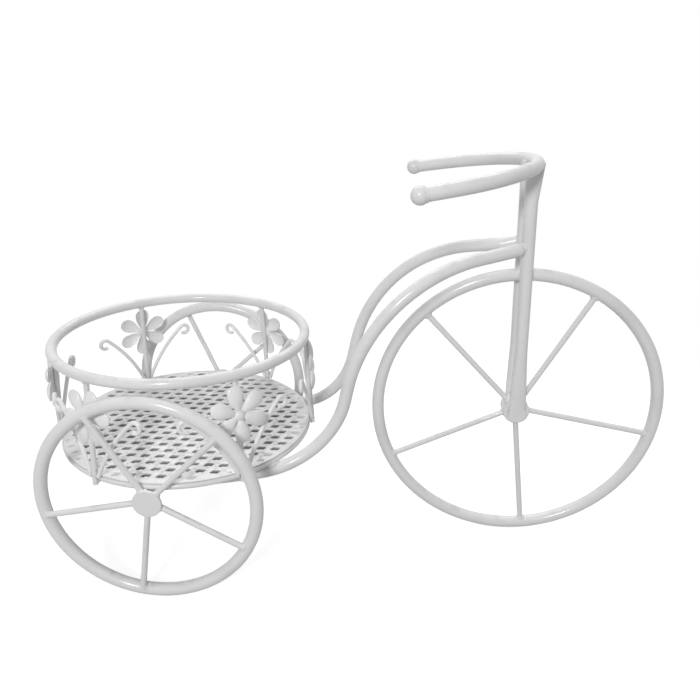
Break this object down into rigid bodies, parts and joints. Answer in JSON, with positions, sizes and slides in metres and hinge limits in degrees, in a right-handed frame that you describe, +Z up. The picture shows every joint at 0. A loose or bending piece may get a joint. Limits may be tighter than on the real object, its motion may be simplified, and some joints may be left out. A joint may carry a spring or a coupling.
{
  "type": "bicycle planter",
  "caption": "White tricycle planter: big front wheel, high handlebar and a round basket with flower and scroll trim between two smaller rear wheels.",
  "frame": {"origin": "middle of the length and width, on the ground under the wheels", "axes": "+X forward from the basket to the front wheel, +Y to the rider's left, +Z up"},
  "size_m": [0.619, 0.2784, 0.395],
  "materials": {
    "frame_enamel": "gloss",
    "wheel_enamel": "gloss",
    "basket_enamel": "gloss",
    "ornament_enamel": "gloss",
    "clip_steel": "satin"
  },
  "bodies": {
    "planter_frame": {"axle_clip_left": "clip_steel", "axle_clip_right": "clip_steel", "basket_base_ring": "basket_enamel", "basket_floor": "basket_enamel", "basket_top_ring": "basket_enamel", "flower_1": "ornament_enamel", "flower_2": "ornament_enamel", "flower_3": "ornament_enamel", "flower_4": "ornament_enamel", "flower_5": "ornament_enamel", "flower_6": "ornament_enamel", "fork_leg_left": "frame_enamel", "fork_leg_right": "frame_enamel", "frame_tube_left": "frame_enamel", "frame_tube_right": "frame_enamel", "front_axle_pin": "frame_enamel", "grip_ball_left": "frame_enamel", "grip_ball_right": "frame_enamel", "handlebar": "frame_enamel", "rear_axle": "frame_enamel", "tendril_pair_1": "ornament_enamel", "tendril_pair_2": "ornament_enamel", "tendril_pair_3": "ornament_enamel", "tendril_pair_4": "ornament_enamel", "tendril_pair_5": "ornament_enamel", "tendril_pair_6": "ornament_enamel", "upright_1": "basket_enamel", "upright_2": "basket_enamel", "upright_3": "basket_enamel", "upright_4": "basket_enamel", "upright_5": "basket_enamel", "upright_6": "basket_enamel"},
    "front_wheel": {"front_hub": "wheel_enamel", "front_rim": "wheel_enamel", "front_spoke_1": "wheel_enamel", "front_spoke_2": "wheel_enamel", "front_spoke_3": "wheel_enamel", "front_spoke_4": "wheel_enamel", "front_spoke_5": "wheel_enamel"},
    "rear_right_wheel": {"rear_right_hub_disc": "wheel_enamel", "rear_right_hub_sleeve": "wheel_enamel", "rear_right_rim": "wheel_enamel", "rear_right_spoke_1": "wheel_enamel", "rear_right_spoke_2": "wheel_enamel", "rear_right_spoke_3": "wheel_enamel", "rear_right_spoke_4": "wheel_enamel", "rear_right_spoke_5": "wheel_enamel"},
    "rear_left_wheel": {"rear_left_hub_disc": "wheel_enamel", "rear_left_hub_sleeve": "wheel_enamel", "rear_left_rim": "wheel_enamel", "rear_left_spoke_1": "wheel_enamel", "rear_left_spoke_2": "wheel_enamel", "rear_left_spoke_3": "wheel_enamel", "rear_left_spoke_4": "wheel_enamel", "rear_left_spoke_5": "wheel_enamel"}
  },
  "joints": [
    {"name": "front_wheel_turn", "type": "hinge", "parent": "planter_frame", "child": "front_wheel", "pos_m": [0.16353, 0, 0.146], "axis": [0, 1, 0], "continuous": true},
    {"name": "rear_right_wheel_turn", "type": "hinge", "parent": "planter_frame", "child": "rear_right_wheel", "pos_m": [-0.17647, -0.132, 0.104], "axis": [0, 1, 0], "continuous": true},
    {"name": "rear_left_wheel_turn", "type": "hinge", "parent": "planter_frame", "child": "rear_left_wheel", "pos_m": [-0.17647, 0.132, 0.104], "axis": [0, 1, 0], "continuous": true}
  ]
}
